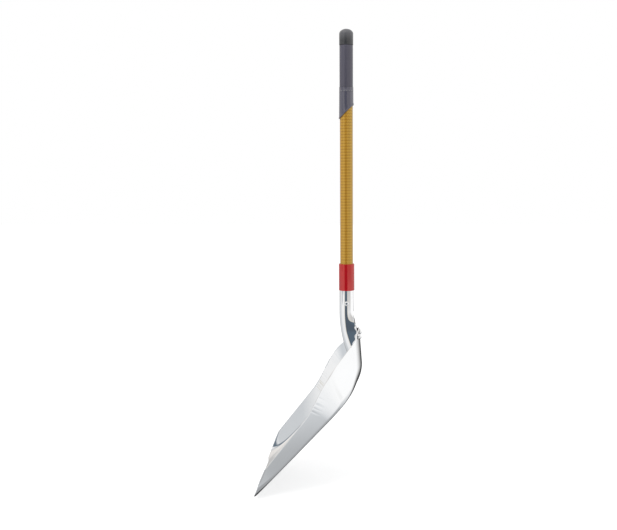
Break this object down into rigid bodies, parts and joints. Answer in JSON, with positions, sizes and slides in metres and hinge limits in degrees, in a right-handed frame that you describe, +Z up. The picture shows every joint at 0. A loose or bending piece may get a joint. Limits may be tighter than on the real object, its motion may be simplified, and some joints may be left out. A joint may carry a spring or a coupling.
{
  "type": "scoop shovel",
  "caption": "Scoop shovel with a pressed polished sheet metal pan, a riveted socket neck, a straight ochre pole, a red collar and a dark rubber grip.",
  "frame": {"origin": "middle of the outer box in X and Y, at the height of the cutting edge, which stands on the ground", "axes": "+Z up along the pole towards the grip, -X towards the hollow side and the cutting edge, Y across the pan"},
  "size_m": [0.2296, 0.2578, 1],
  "materials": {
    "pan_steel": "polished, with faint press wrinkles",
    "neck_steel": "mirror polished",
    "rivet_steel": "bright",
    "washer_steel": "plain",
    "red_plastic": "gloss",
    "ochre_fibreglass": "satin, with fine cross ribs",
    "plug_wood": "plain",
    "cuff_rubber": "matt",
    "grip_rubber": "matt",
    "cap_plastic": "satin"
  },
  "bodies": {
    "root": {"scoop_pan": "pan_steel", "socket_neck": "neck_steel", "neck_rivet_left": "rivet_steel", "neck_rivet_right": "rivet_steel", "rivet_washer_left": "washer_steel", "rivet_washer_right": "washer_steel", "cross_rivet": "rivet_steel", "ferrule_collar": "red_plastic", "pole": "ochre_fibreglass", "pole_core": "plug_wood", "grip_cuff": "cuff_rubber", "grip_sleeve": "grip_rubber", "end_cap": "cap_plastic"}
  },
  "joints": []
}
